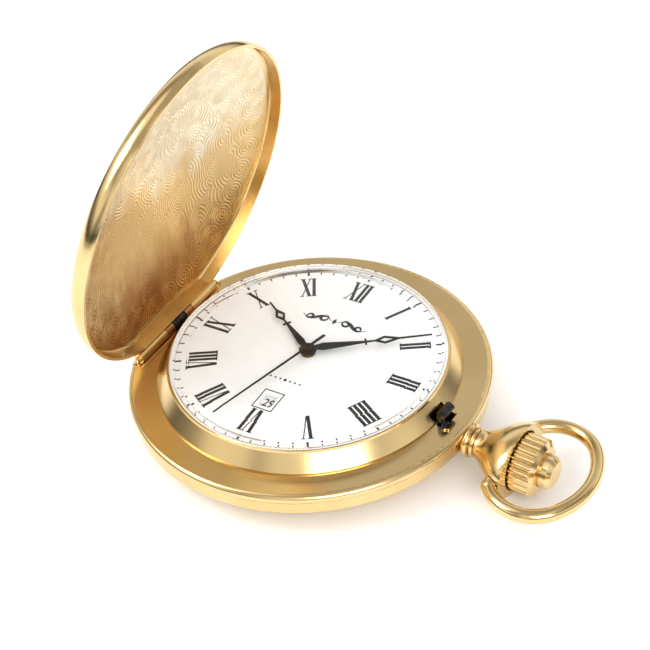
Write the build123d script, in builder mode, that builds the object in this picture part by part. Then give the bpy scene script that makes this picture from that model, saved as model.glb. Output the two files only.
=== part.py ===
from build123d import *
import os
from math import acos, atan2, cos, degrees, pi, radians, sin

os.makedirs("parts", exist_ok=True)

# A full-hunter quartz pocket watch lying on its back with the lid open.
# Origin: centre of the flat on the back. +Z up through the dial, +X to 3 o'clock, +Y to 12 o'clock.

# ---------------------------------------------------------------- driving dimensions, mm
# clearances
running = 0.05  # radial, round parts that turn or slide in one another
gap = 0.12  # between pieces that only pass by

# radii of the case, from the dial outwards
opening_r = 18.0  # visible dial
gasket_w = 0.22
crystal_ledge = 0.25  # step under the crystal gasket
bezel_lip_w = 0.36
bezel_slope_w = 1.54
flange_w = 3.1
belly_w = 0.8
dial_overlap = 0.6  # dial edge hidden under the bezel
bezel_skirt_w = 0.85
skirt_w = 2.9  # wall of the middle that goes down into the back
skirt_step = 1.3  # recess in that wall for the two leaf springs
back_side_w = 1.7
rest_r = 16.5  # flat that the watch lies on

# heights of the case, from the back upwards
back_wall = 0.9
dome_h = 3.7
back_rim_h = 1.5
band_h = 1.3
dial_above_flange = 1.7
bezel_h = 2.3
dome_wall = 0.8  # height of the back's corner above its inner dome
spring_recess_h = 1.25

# crystal
crystal_wall = 0.65
crystal_edge_h = 0.95
crystal_bevel_w = 2.3
crystal_bevel_h = 0.8
crystal_dome = 0.5

# lid
lid_wall = 0.5
lid_inset = 1.2  # lid edge inside the flange edge
lid_gap = 0.2  # closed lid above the flange
lid_depth = 1.75
lid_floor_dome = 4.4
lid_open = 74.5  # degrees from closed
hinge_inset = 2.0  # hinge axis inside the flange edge
hinge_above_flange = 0.3
hinge_half = 9.0
knuckle_half = 3.1
block_half = 1.45
tube_r = 0.75
pin_r = 0.35
hinge_block_w = 1.15

# pendant, crown, button and bow, along the stem
pendant_turn = -5.2  # degrees from 3 o'clock
stem_below_dial = 3.7
stem_r = 0.6
sleeve_r = 1.25
sleeve_wall = 0.25
neck_r = 1.6
neck_ring_r = (2.25, 1.95)
neck_ring_w = 0.65
neck_pitch = 0.8
pendant_l = 5.6
pendant_half_y = 5.6
pendant_half_z = 4.2
crown_r = 3.7
crown_l = 4.1
crown_inside = 0.9  # crown hidden in the pendant's mouth
crown_bevel = 0.65
flutes = 26
button_r = 2.1
button_out = 1.5
button_travel = 0.8
crown_pull = 1.0
bow_wire_r = 0.9
bow_half_y = 7.9  # centreline of the loop
bow_far = 10.2  # centreline of the loop beyond its pivot
bow_far_r = 10.0
bow_wide = 4.2  # widest place beyond the pivot
peg_r = 0.45

# catch and latch
window_w = 3.0
window_l = 2.25
latch_w = 2.4
latch_t = 0.6
catch_lip = 0.5

# dial and hands
dial_t = 0.4
window_x = 1.85
window_y = 2.3
window_at = 10.1
hour_tip = 11.7
minute_tip = 16.2
second_tip = 16.2
hour_angle = 303.5  # clock angles at rest
minute_angle = 56.0
second_angle = 196.0
hour_hand_h = 0.5  # undersides above the dial
minute_hand_h = 0.75
second_hand_h = 0.99
hand_t = 0.14

# movement
movement_r = 12.8
movement_t = 4.9
plate_t = 1.4
date_ring_in = 8.6
date_ring_w = 3.2
battery_r = 4.75
battery_t = 2.1
module_motion = 0.12  # hour train, under the dial
module_train = 0.1  # minute train

# ---------------------------------------------------------------- places worked out from them
bezel_seat_r = opening_r + gasket_w
bezel_top_r = bezel_seat_r + bezel_lip_w
bezel_foot_r = bezel_top_r + bezel_slope_w
flange_r = bezel_foot_r + flange_w
case_r = flange_r + belly_w
side_r = case_r - 0.3
dial_r = opening_r + dial_overlap
bezel_in_r = dial_r + gap
bezel_skirt_r = bezel_in_r + bezel_skirt_w
skirt_r = side_r - back_side_w - running
bore_r = skirt_r - skirt_w
back_in_r = side_r - back_side_w

parting_z = dome_h + back_rim_h
inner_corner_z = dome_h - dome_wall
skirt_low = inner_corner_z + gap
flange_z = parting_z + band_h
dial_z = flange_z + dial_above_flange
bezel_z = flange_z + bezel_h
movement_z = dial_z - dial_t
stem_z = dial_z - stem_below_dial
ledge_z = dial_z + 0.02
seat_z = dial_z + crystal_ledge

hinge_x = -(flange_r - hinge_inset)
hinge_z = flange_z + hinge_above_flange
lid_r = flange_r - lid_inset
rim_z = flange_z + lid_gap
lid_in_r = lid_r - lid_wall
floor_z = rim_z + lid_depth
block_x = hinge_x + hinge_block_w

neck_x = case_r + 0.02
pendant_x = neck_x + 2 * neck_pitch - 0.02
pendant_end = pendant_x + pendant_l
crown_x = pendant_end - crown_inside
crown_end = crown_x + crown_l
button_end = crown_end + button_out
pivot_x = pendant_end - 1.15
wall_x = bezel_foot_r + 1.4  # outer wall of the latch pocket
latch_in = wall_x - 0.1 - 2 * latch_t
latch_out = latch_in + latch_t
sleeve_end = latch_out + running

turned = Rot(0, 0, pendant_turn)
stem_dir = (cos(radians(pendant_turn)), sin(radians(pendant_turn)), 0)
stem_axis = Axis((0, 0, stem_z), stem_dir)
stem_at = turned * Pos(0, 0, stem_z)
lid_swing = Pos(hinge_x, 0, hinge_z) * Rot(0, -lid_open, 0) * Pos(-hinge_x, 0, -hinge_z)


def upright(angle, z=0):
    """Plane through the dial's axis: its x is the radius at that angle, its y the height."""
    a = radians(angle)
    return Plane((0, 0, z), x_dir=(cos(a), sin(a), 0), z_dir=(sin(a), -cos(a), 0))


def level(z, angle=0):
    """Plane parallel to the dial, its x turned to that angle."""
    a = radians(angle)
    return Plane((0, 0, z), x_dir=(cos(a), sin(a), 0), z_dir=(0, 0, 1))


def across_stem(x):
    """Plane square to the stem, x along it from the dial's centre."""
    origin = (x * stem_dir[0], x * stem_dir[1], stem_z)
    return Plane(origin, x_dir=(-stem_dir[1], stem_dir[0], 0), z_dir=stem_dir)


def turn(points, plane=Plane.XZ, axis=Axis.Z, angle=360):
    """Revolve a closed outline inside the part that is being built."""
    with BuildSketch(plane) as outline:
        with BuildLine():
            Polyline(*points, close=True)
        make_face()
    revolve(outline.sketch, axis=axis, revolution_arc=angle)


def turn_on_stem(points):
    turn(points, upright(pendant_turn, stem_z), stem_axis)


def bar(low, high, frame=Location(), mode=Mode.ADD):
    """Box between two corners of a frame."""
    size = [b - a for a, b in zip(low, high)]
    middle = [(a + b) / 2 for a, b in zip(low, high)]
    with Locations(frame * Pos(*middle)):
        Box(*size, mode=mode)


def rod(radius, low, high, axis, at=(0, 0), frame=Location(), mode=Mode.ADD):
    """Cylinder from low to high along an axis of a frame; at is its place across that axis."""
    middle = (low + high) / 2
    place, spin = {
        "x": ((middle, at[0], at[1]), (0, 90, 0)),
        "y": ((at[0], middle, at[1]), (90, 0, 0)),
        "z": ((at[0], at[1], middle), (0, 0, 0)),
    }[axis]
    with Locations(frame * Pos(*place)):
        Cylinder(radius, high - low, rotation=spin, mode=mode)


def polar(radius, angle):
    return (radius * cos(radians(angle)), radius * sin(radians(angle)))


def gear(teeth, module, low, high, at=(0, 0), phase=0.0):
    """Toothed disc with a tooth centred on the phase angle."""
    step = 2 * pi / teeth
    pitch = module * teeth / 2
    corners = []
    for tooth in range(teeth):
        for height, side in ((-1.15, -0.27), (0.85, -0.13), (0.85, 0.13), (-1.15, 0.27)):
            angle = radians(phase) + (tooth + side) * step
            reach = pitch + height * module
            corners.append((at[0] + reach * cos(angle), at[1] + reach * sin(angle)))
    with BuildSketch(Plane.XY.offset(low)) as outline:
        with BuildLine():
            Polyline(*corners, close=True)
        make_face()
    extrude(outline.sketch, amount=high - low)


def gap_phase(angle, teeth):
    """Phase that puts a gap of the driven wheel on the line from its driver."""
    return angle + 180 + 180 / teeth


def save(solid, name):
    solid.label = name
    export_step(solid, f"parts/{name}.step")


# ---------------------------------------------------------------- case back and its gasket
with BuildPart() as case_back:
    with BuildSketch(Plane.XZ):
        with BuildLine():
            Line((0, 0), (rest_r, 0))
            TangentArc((rest_r, 0), (side_r, dome_h), tangent=(1, 0))
            Line((side_r, dome_h), (side_r, parting_z))
            Line((side_r, parting_z), (back_in_r, parting_z))
            Line((back_in_r, parting_z), (back_in_r, inner_corner_z))
            TangentArc((rest_r, back_wall), (back_in_r, inner_corner_z), tangent=(1, 0))
            Line((rest_r, back_wall), (0, back_wall))
            Line((0, back_wall), (0, 0))
        make_face()
    revolve(axis=Axis.Z)
    # notch round the pendant tube
    rod(neck_r + gap, skirt_r, case_r + 1, "x", frame=stem_at, mode=Mode.SUBTRACT)
    bar((skirt_r, -neck_r - gap, 0), (case_r + 1, neck_r + gap, 3), stem_at, Mode.SUBTRACT)
save(case_back.part, "case_back")

seal_r = skirt_r - 0.45
seal_low = parting_z - 0.85
seal_high = parting_z - 0.35
with BuildPart() as back_gasket:
    rod(skirt_r, seal_low, seal_high, "z")
    rod(seal_r, seal_low - 1, seal_high + 1, "z", mode=Mode.SUBTRACT)
    rod(neck_r + gap, 0, case_r + 1, "x", frame=stem_at, mode=Mode.SUBTRACT)
save(back_gasket.part, "back_gasket")

# ---------------------------------------------------------------- case middle
step_z = skirt_low + spring_recess_h
step_r = bore_r + skirt_step
rebate_r = bezel_skirt_r + running
flange_dip = 0.17
groove_r = tube_r + gap
pocket_low = stem_z - 1.3
pocket_in = wall_x - window_l

with BuildPart() as case_middle:
    with BuildSketch(Plane.XZ):
        with BuildLine():
            Line((skirt_r, skirt_low), (skirt_r, parting_z + running))
            Line((skirt_r, parting_z + running), (side_r, parting_z + running))
            ThreePointArc(
                (side_r, parting_z + running),
                (case_r, parting_z + 0.5 * band_h),
                (flange_r, flange_z),
            )
            Polyline(
                (flange_r, flange_z),
                (rebate_r, flange_z - flange_dip),
                (rebate_r, parting_z),
                (bore_r, parting_z),
                (bore_r, step_z),
                (step_r, step_z),
                (step_r, skirt_low),
                (skirt_r, skirt_low),
            )
        make_face()
    revolve(axis=Axis.Z)
    with BuildSketch(Plane.XY.offset(seal_low)):
        Circle(skirt_r + 0.5 * running)
        Circle(seal_r, mode=Mode.SUBTRACT)
    extrude(amount=seal_high - seal_low, mode=Mode.SUBTRACT)
    # hinge seat: a milled flat and a round groove for the lid's tubes
    seat_half = hinge_half + 0.95
    bar(
        (hinge_x - groove_r, -seat_half, flange_z - 0.35),
        (hinge_x + groove_r, seat_half, flange_z + 1),
        mode=Mode.SUBTRACT,
    )
    rod(groove_r, -seat_half, seat_half, "y", (hinge_x, hinge_z), mode=Mode.SUBTRACT)
    # knuckles on each side of the lift spring block, on webs that stand on the flange
    for side in (-1, 1):
        ends = sorted((side * (block_half + running), side * (knuckle_half - running)))
        rod(tube_r, *ends, "y", (hinge_x, hinge_z))
        bar(
            (hinge_x - tube_r, ends[0], parting_z + 0.3),
            (hinge_x + tube_r, ends[1], hinge_z),
        )
    # slot for the lift spring's riser
    bar(
        (hinge_x - 0.4, -block_half - running, skirt_low - 1),
        (-bore_r + 1, block_half + running, flange_z - 0.4),
        mode=Mode.SUBTRACT,
    )
    bar(
        (hinge_x - groove_r, -block_half - running, flange_z - 0.6),
        (hinge_x + groove_r, block_half + running, flange_z + 2),
        mode=Mode.SUBTRACT,
    )
    rod(pin_r, -hinge_half - 1, hinge_half + 1, "y", (hinge_x, hinge_z), mode=Mode.SUBTRACT)
    # bore for the pendant tube, latch pocket and the recess of the latch screw
    rod(neck_r, wall_x - 1, case_r + 1, "x", frame=stem_at, mode=Mode.SUBTRACT)
    bar(
        (bore_r - 1, -window_w / 2, pocket_low),
        (wall_x, window_w / 2, flange_z + 1),
        turned,
        Mode.SUBTRACT,
    )
    screw_at = polar(flange_r - 1.2, pendant_turn - 5.2)
    rod(0.55, flange_z - 0.6, flange_z + 1, "z", screw_at, mode=Mode.SUBTRACT)
    rod(0.3, parting_z + 0.2, flange_z, "z", screw_at, mode=Mode.SUBTRACT)
save(case_middle.part, "case_middle")

# ---------------------------------------------------------------- bezel, crystal and gasket
with BuildPart() as bezel:
    turn(
        [
            (bezel_foot_r, flange_z - flange_dip + running),
            (bezel_foot_r, flange_z - flange_dip + 0.25),
            (bezel_top_r, bezel_z - 0.35),
            (bezel_top_r - 0.1, bezel_z - 0.08),
            (bezel_seat_r + 0.08, bezel_z),
            (bezel_seat_r, bezel_z - 0.1),
            (bezel_seat_r, seat_z),
            (opening_r, seat_z),
            (opening_r, ledge_z),
            (bezel_in_r, ledge_z),
            (bezel_in_r, parting_z + running),
            (bezel_skirt_r, parting_z + running),
            (bezel_skirt_r, flange_z - flange_dip + running),
        ]
    )
    bar(
        (pocket_in, -window_w / 2, parting_z - 1),
        (wall_x + 1, window_w / 2, bezel_z + 1),
        turned,
        Mode.SUBTRACT,
    )
save(bezel.part, "bezel")

crystal_r = bezel_seat_r - gasket_w
crystal_low = seat_z + 0.02
crystal_shoulder = crystal_low + crystal_edge_h
crystal_flat_z = crystal_shoulder + crystal_bevel_h
crystal_flat_r = crystal_r - crystal_bevel_w
crystal_top = crystal_flat_z + crystal_dome
under_r = crystal_flat_r - 0.4 * crystal_wall
under_z = crystal_flat_z - crystal_wall
with BuildPart() as crystal:
    with BuildSketch(Plane.XZ):
        with BuildLine():
            TangentArc((0, crystal_top), (crystal_flat_r, crystal_flat_z), tangent=(1, 0))
            Polyline(
                (crystal_flat_r, crystal_flat_z),
                (crystal_r, crystal_shoulder),
                (crystal_r, crystal_low),
                (crystal_r - crystal_wall, crystal_low),
                (crystal_r - crystal_wall, crystal_shoulder - 0.35),
                (under_r, under_z),
            )
            TangentArc((0, crystal_top - crystal_wall), (under_r, under_z), tangent=(1, 0))
            Line((0, crystal_top - crystal_wall), (0, crystal_top))
        make_face()
    revolve(axis=Axis.Z)
save(crystal.part, "crystal")

with BuildPart() as crystal_gasket:
    turn(
        [
            (crystal_r, seat_z),
            (bezel_seat_r, seat_z),
            (bezel_seat_r, bezel_z - 0.15),
            (crystal_r, bezel_z - 0.15),
        ]
    )
save(crystal_gasket.part, "crystal_gasket")

# ---------------------------------------------------------------- lid, modelled closed, saved open
lid_dome_r = lid_r - 0.6
lid_dome_z = floor_z + 0.5
lid_top = floor_z + lid_floor_dome + lid_wall

with BuildPart() as lid_hollow:
    with BuildSketch(Plane.XZ):
        with BuildLine():
            Polyline((0, rim_z - 1), (lid_in_r, rim_z - 1), (lid_in_r, floor_z - 0.2))
            Line((lid_in_r, floor_z - 0.2), (lid_in_r - 0.15, floor_z))
            TangentArc((0, floor_z + lid_floor_dome), (lid_in_r - 0.15, floor_z), tangent=(1, 0))
            Line((0, floor_z + lid_floor_dome), (0, rim_z - 1))
        make_face()
    revolve(axis=Axis.Z)
    # the hinge block stays solid behind a flat wall
    bar(
        (-case_r, -case_r, 0),
        (block_x, case_r, lid_top),
        mode=Mode.SUBTRACT,
    )

with BuildPart() as flange_below:
    bar((-2 * case_r, -case_r, 0), (0, case_r, flange_z + gap))

with BuildPart() as lid_closed:
    with BuildSketch(Plane.XZ):
        with BuildLine():
            Line((0, lid_top), (0, rim_z))
            Line((0, rim_z), (lid_r - 0.1, rim_z))
            ThreePointArc(
                (lid_r - 0.1, rim_z),
                (lid_r, rim_z + 0.45 * lid_depth),
                (lid_dome_r, lid_dome_z),
            )
            TangentArc((0, lid_top), (lid_dome_r, lid_dome_z), tangent=(1, 0))
        make_face()
    revolve(axis=Axis.Z)
    add(lid_hollow.part, mode=Mode.SUBTRACT)
    # seats for the tubes, and room for the case's knuckles
    rod(tube_r, -hinge_half, hinge_half, "y", (hinge_x, hinge_z), mode=Mode.SUBTRACT)
    rod(groove_r, -knuckle_half, knuckle_half, "y", (hinge_x, hinge_z), mode=Mode.SUBTRACT)
    bar(
        (-case_r, -hinge_half, 0),
        (hinge_x, hinge_half, hinge_z),
        mode=Mode.SUBTRACT,
    )
    # back edge cut so that it comes to rest just over the flange when the lid is open
    add(flange_below.part.moved(lid_swing.inverse()), mode=Mode.SUBTRACT)
save(lid_closed.part.moved(lid_swing), "lid")

with BuildPart() as lid_tubes:
    for side in (-1, 1):
        ends = sorted((side * (knuckle_half + running), side * hinge_half))
        rod(tube_r, *ends, "y", (hinge_x, hinge_z))
    rod(pin_r + running, -case_r, case_r, "y", (hinge_x, hinge_z), mode=Mode.SUBTRACT)
save(lid_tubes.part.moved(lid_swing), "lid_hinge_tubes")

lip_low = rim_z + 0.35
with BuildPart() as lid_catch:
    turn(
        [
            (lid_in_r - catch_lip, lip_low),
            (lid_in_r, lip_low),
            (lid_in_r, lip_low + 0.3),
            (lid_in_r - catch_lip, lip_low + 0.3),
        ],
        upright(pendant_turn - 3.2),
        Axis.Z,
        6.4,
    )
save(lid_catch.part.moved(lid_swing), "lid_catch")

with BuildPart() as hinge_pin:
    rod(pin_r, -hinge_half - 0.35, hinge_half + 0.35, "y", (hinge_x, hinge_z))
    with Locations(*[(hinge_x, side * (hinge_half + 0.45), hinge_z) for side in (-1, 1)]):
        Sphere(0.42)
save(hinge_pin.part, "hinge_pin")

with BuildPart() as lift_block:
    rod(tube_r, -block_half, block_half, "y", (hinge_x, hinge_z))
    bar(
        (hinge_x - 0.3, -block_half, flange_z - 0.45),
        (hinge_x + tube_r, block_half, hinge_z),
    )
    rod(pin_r, -block_half, block_half, "y", (hinge_x, hinge_z), mode=Mode.SUBTRACT)
save(lift_block.part, "lift_spring_block")

leaf_in = bore_r + 0.4
leaf_out = bore_r + 0.75
leaf_low = skirt_low + 0.3
leaf_high = step_z - 0.2
with BuildPart() as lift_spring:
    turn(
        [(leaf_in, leaf_low), (leaf_out, leaf_low), (leaf_out, leaf_high), (leaf_in, leaf_high)],
        upright(178),
        Axis.Z,
        95,
    )
    bar(
        (hinge_x - 0.2, -block_half + 0.1, leaf_low),
        (-leaf_in, block_half - 0.1, leaf_high),
    )
    bar(
        (hinge_x - 0.2, -block_half + 0.1, leaf_low),
        (-rebate_r - 0.2, block_half - 0.1, flange_z - 0.45),
    )
save(lift_spring.part, "lift_spring")

# ---------------------------------------------------------------- latch, in line with the stem
nose_low = lip_low + 0.3 + gap
nose_out = lid_in_r - gap
with BuildPart() as latch:
    with BuildSketch(upright(pendant_turn)):
        with BuildLine():
            Polyline(
                (latch_in, pocket_low + 0.2),
                (latch_out, pocket_low + 0.2),
                (latch_out, nose_low),
                (nose_out - 0.25, nose_low),
                (nose_out, nose_low + 0.2),
                (nose_out - 0.1, nose_low + 0.5),
                (latch_out - 0.1, nose_low + 0.85),
                (latch_in, nose_low + 0.6),
                close=True,
            )
        make_face()
    extrude(amount=latch_w / 2, both=True)
    # fork over the stem
    bar(
        (latch_in - 1, -stem_r - gap, 0),
        (latch_out + 0.01, stem_r + gap, stem_z + 0.8),
        turned,
        Mode.SUBTRACT,
    )
save(latch.part, "latch")

spring_end = degrees(atan2(stem_r + gap + 0.2, latch_in))
with BuildPart() as latch_spring:
    turn(
        [(leaf_in, leaf_low), (leaf_out, leaf_low), (leaf_out, leaf_high), (leaf_in, leaf_high)],
        upright(pendant_turn - 62),
        Axis.Z,
        62 - spring_end,
    )
save(latch_spring.part, "latch_spring")

with BuildPart() as latch_screw:
    rod(0.3, parting_z + 0.2, flange_z - 0.6, "z", screw_at)
    rod(0.5, flange_z - 0.6, flange_z - 0.3, "z", screw_at)
save(latch_screw.part, "latch_screw")

# ---------------------------------------------------------------- pendant
sleeve_bore = sleeve_r + running
with BuildPart() as pendant_tube:
    with BuildSketch(upright(pendant_turn, stem_z)):
        with BuildLine():
            outline = [(pendant_x + 0.8, neck_r), (pendant_x + 0.8, sleeve_bore)]
            Polyline(*outline, (wall_x, sleeve_bore), (wall_x, neck_r), (neck_x, neck_r))
            low = neck_x
            for ring_r in neck_ring_r:
                high = low + neck_ring_w
                ThreePointArc((low, neck_r), ((low + high) / 2, ring_r), (high, neck_r))
                low = low + neck_pitch
                if ring_r == neck_ring_r[-1]:
                    low = pendant_x + 0.8
                Line((high, neck_r), (low, neck_r))
        make_face()
    revolve(axis=stem_axis)
save(pendant_tube.part, "pendant_tube")

eye_r = bow_wire_r + 0.1
recess_r = eye_r + gap
cheek_in = crown_r + 0.9
with BuildPart() as pendant:
    for along, half_y, half_z in (
        (0.0, 0.34, 0.45),
        (0.15, 0.44, 0.44),
        (0.33, 0.6, 0.57),
        (0.52, 0.79, 0.76),
        (0.76, 0.96, 0.93),
        (1.0, 1.0, 1.0),
    ):
        with BuildSketch(across_stem(pendant_x + along * pendant_l)):
            Ellipse(pendant_half_y * half_y, pendant_half_z * half_z)
    loft()
    rod(neck_r, pendant_x - 1, pendant_x + 0.8, "x", frame=stem_at, mode=Mode.SUBTRACT)
    rod(sleeve_bore, pendant_x, pendant_end, "x", frame=stem_at, mode=Mode.SUBTRACT)
    rod(crown_r + 0.2, crown_x - 0.3, pendant_end + 1, "x", frame=stem_at, mode=Mode.SUBTRACT)
    for side in (-1, 1):
        ends = sorted((side * cheek_in, side * (pendant_half_y + 1)))
        rod(recess_r, *ends, "y", (pivot_x, 0), stem_at, Mode.SUBTRACT)
    rod(peg_r + running, -pendant_half_y, pendant_half_y, "y", (pivot_x, 0), stem_at, Mode.SUBTRACT)
save(pendant.part, "pendant")

# ---------------------------------------------------------------- bow
# far arc about a centre on the stem line, then a tighter arc each side, tangent to it
wide_x = pivot_x + bow_wide
far_x = pivot_x + bow_far
centre_x = far_x - bow_far_r
reach = wide_x - centre_x
side_arc_r = (bow_far_r**2 - reach**2 - bow_half_y**2) / (2 * (bow_far_r - bow_half_y))
side_y = bow_half_y - side_arc_r
far_half_angle = degrees(atan2(side_y, reach))
end_angle = degrees(acos((pivot_x - wide_x) / side_arc_r))
eye_in = cheek_in + 0.12
eye_out = side_y + side_arc_r * sin(radians(end_angle))

with BuildPart() as bow:
    with BuildLine(level(stem_z, pendant_turn)) as bow_line:
        CenterArc((wide_x, side_y), side_arc_r, end_angle, far_half_angle - end_angle)
        CenterArc((centre_x, 0), bow_far_r, far_half_angle, -2 * far_half_angle)
        CenterArc((wide_x, -side_y), side_arc_r, -far_half_angle, far_half_angle - end_angle)
    with BuildSketch(Plane(bow_line.line @ 0, z_dir=bow_line.line % 0)):
        Circle(bow_wire_r)
    sweep()
    for side in (-1, 1):
        ends = sorted((side * eye_in, side * eye_out))
        rod(eye_r, *ends, "y", (pivot_x, 0), stem_at)
        ends = sorted((side * (crown_r + 0.3), side * eye_out))
        rod(peg_r, *ends, "y", (pivot_x, 0), stem_at)
    # the wire's ends are rounded off about the pegs
    with Locations(bow_line.line @ 0, bow_line.line @ 1):
        Sphere(eye_r)
save(bow.part, "bow")

# ---------------------------------------------------------------- crown, button, sleeve, stem
hub_end = crown_x + 1.6
button_in = hub_end + 1.7
pin_x = crown_x + 0.8
with BuildPart() as crown:
    turn_on_stem(
        [
            (crown_x, sleeve_bore),
            (crown_x, crown_r - 0.35),
            (crown_x + 0.35, crown_r),
            (crown_end - crown_bevel, crown_r),
            (crown_end, crown_r - 0.8),
            (crown_end, button_r + running),
            (hub_end, button_r + running),
            (hub_end, sleeve_bore),
        ]
    )
    with BuildSketch(across_stem(crown_x - 0.1)):
        with PolarLocations(crown_r + 0.12, flutes):
            Circle(0.4)
    extrude(amount=crown_l + 0.2, mode=Mode.SUBTRACT)
    rod(0.25, -sleeve_r - 0.9, sleeve_r + 0.9, "y", (pin_x, 0), stem_at, Mode.SUBTRACT)
save(crown.part, "crown")

with BuildPart() as crown_pin:
    rod(0.25, -sleeve_r - 0.9, sleeve_r + 0.9, "y", (pin_x, 0), stem_at)
save(crown_pin.part, "crown_pin")

with BuildPart() as push_button:
    turn_on_stem(
        [
            (button_in, 0),
            (button_in, button_r),
            (button_end - 0.5, button_r),
            (button_end, button_r - 0.5),
            (button_end, 0),
        ]
    )
save(push_button.part, "push_button")

with BuildPart() as push_sleeve:
    rod(sleeve_r, sleeve_end, button_in, "x", frame=stem_at)
    rod(sleeve_r - sleeve_wall, sleeve_end - 1, button_in + 1, "x", frame=stem_at, mode=Mode.SUBTRACT)
    # slots that let the cross pin stand still while the sleeve slides inwards
    bar(
        (pin_x - 0.35, -2, -0.3),
        (pin_x + button_travel + 0.35, 2, 0.3),
        stem_at,
        Mode.SUBTRACT,
    )
save(push_sleeve.part, "push_sleeve")

with BuildPart() as button_spring:
    rod(button_r - 0.1, hub_end, button_in, "x", frame=stem_at)
    rod(sleeve_r + 0.1, hub_end - 1, button_in + 1, "x", frame=stem_at, mode=Mode.SUBTRACT)
save(button_spring.part, "button_spring")

stem_in = 7.0
stem_groove = 9.6
with BuildPart() as stem:
    rod(stem_r, stem_in, pin_x + 0.6, "x", frame=stem_at)
    with BuildSketch(across_stem(stem_groove)):
        Circle(stem_r + 0.1)
        Circle(stem_r - 0.22, mode=Mode.SUBTRACT)
    extrude(amount=0.6, mode=Mode.SUBTRACT)
    rod(0.25, -2, 2, "y", (pin_x, 0), stem_at, Mode.SUBTRACT)
save(stem.part, "stem")

with BuildPart() as sliding_pinion:
    with BuildSketch(across_stem(stem_in + 0.2)):
        Circle(1.0)
        with PolarLocations(1.0, 12):
            Circle(0.14, mode=Mode.SUBTRACT)
        Circle(stem_r, mode=Mode.SUBTRACT)
    extrude(amount=1.2)
save(sliding_pinion.part, "sliding_pinion")

# ---------------------------------------------------------------- dial and date
with BuildPart() as dial:
    rod(dial_r, movement_z, dial_z, "z")
    rod(0.95, movement_z - 1, dial_z + 1, "z", mode=Mode.SUBTRACT)
    bar(
        (-window_x / 2, -window_at - window_y / 2, movement_z - 1),
        (window_x / 2, -window_at + window_y / 2, dial_z + 1),
        mode=Mode.SUBTRACT,
    )
save(dial.part, "dial")

frame_w = 0.14
with BuildPart() as date_frame:
    with BuildSketch(Plane.XY.offset(dial_z)):
        with Locations((0, -window_at + 0.1)):
            Rectangle(window_x + 1.05, window_y + 1.25)
            Rectangle(window_x + 1.05 - 2 * frame_w, window_y + 1.25 - 2 * frame_w, mode=Mode.SUBTRACT)
    extrude(amount=0.03)
save(date_frame.part, "date_frame")

date_ring_out = date_ring_in + date_ring_w
date_ring_z = movement_z - 0.1
with BuildPart() as date_ring:
    with BuildSketch(Plane.XY.offset(date_ring_z - 0.3)):
        Circle(date_ring_out)
        Circle(date_ring_in, mode=Mode.SUBTRACT)
        with PolarLocations(date_ring_in, 31):
            Circle(0.3, mode=Mode.SUBTRACT)
    extrude(amount=0.3)
save(date_ring.part, "date_ring")

# ---------------------------------------------------------------- hands
arbor_r = 0.13
cannon_r = 0.36
hour_tube_r = 0.7


def hand(tip, bar_at, diamond, leaf_w, hub_r, angle, under):
    """Leaf, small cross bar, open diamond and thin tip, on the plane just over the dial."""
    start, middle, end, half = diamond
    with BuildSketch(level(under, 90 - angle)) as outline:
        Circle(hub_r)
        with BuildLine():
            Polyline(
                (0.6, 0.3),
                (2.1, leaf_w / 2),
                (bar_at, 0.15),
                (start, 0.1),
                (middle, half),
                (end, 0.13),
                (tip, 0.09),
                (tip, -0.09),
                (end, -0.13),
                (middle, -half),
                (start, -0.1),
                (bar_at, -0.15),
                (2.1, -leaf_w / 2),
                (0.6, -0.3),
                close=True,
            )
        make_face()
        with Locations((bar_at, 0)):
            Rectangle(0.26, 1.15)
        with BuildLine():
            Polyline(
                (start + 0.55, 0),
                (middle, half - 0.3),
                (end - 0.6, 0),
                (middle, -half + 0.3),
                close=True,
            )
        make_face(mode=Mode.SUBTRACT)
    extrude(outline.sketch, amount=hand_t)


with BuildPart() as hour_hand:
    hand(hour_tip, 6.35, (7.2, 8.4, 9.7, 0.7), 1.05, 1.15, hour_angle, dial_z + hour_hand_h)
    rod(hour_tube_r, dial_z, dial_z + 2, "z", mode=Mode.SUBTRACT)
save(hour_hand.part, "hour_hand")

with BuildPart() as minute_hand:
    hand(minute_tip, 7.6, (8.8, 10.1, 12.0, 0.72), 1.4, 1.0, minute_angle, dial_z + minute_hand_h)
    rod(cannon_r, dial_z, dial_z + 2, "z", mode=Mode.SUBTRACT)
save(minute_hand.part, "minute_hand")

with BuildPart() as second_hand:
    low = dial_z + second_hand_h
    with BuildSketch(level(low, 90 - second_angle)):
        with BuildLine():
            Polyline(
                (-3.1, 0.21), (-1.0, 0.19), (0, 0.16), (second_tip, 0.08),
                (second_tip, -0.08), (0, -0.16), (-1.0, -0.19), (-3.1, -0.21),
                close=True,
            )
        make_face()
    extrude(amount=0.12)
    rod(0.62, low - 0.06, low + 0.2, "z")
    rod(arbor_r, low - 1, low + 0.12, "z", mode=Mode.SUBTRACT)
save(second_hand.part, "second_hand")

# ---------------------------------------------------------------- movement
movement_low = movement_z - movement_t
plate_low = movement_z - 0.5 - plate_t
plate_top = movement_z - 0.5

with BuildPart() as movement_holder:
    rod(bore_r - gap, movement_low, parting_z, "z")
    rod(dial_r, parting_z, movement_z, "z")
    rod(movement_r + running, movement_low - 1, movement_z + 1, "z", mode=Mode.SUBTRACT)
    rod(stem_r + 0.25, movement_r - 2, case_r, "x", frame=stem_at, mode=Mode.SUBTRACT)
save(movement_holder.part, "movement_holder")

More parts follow.
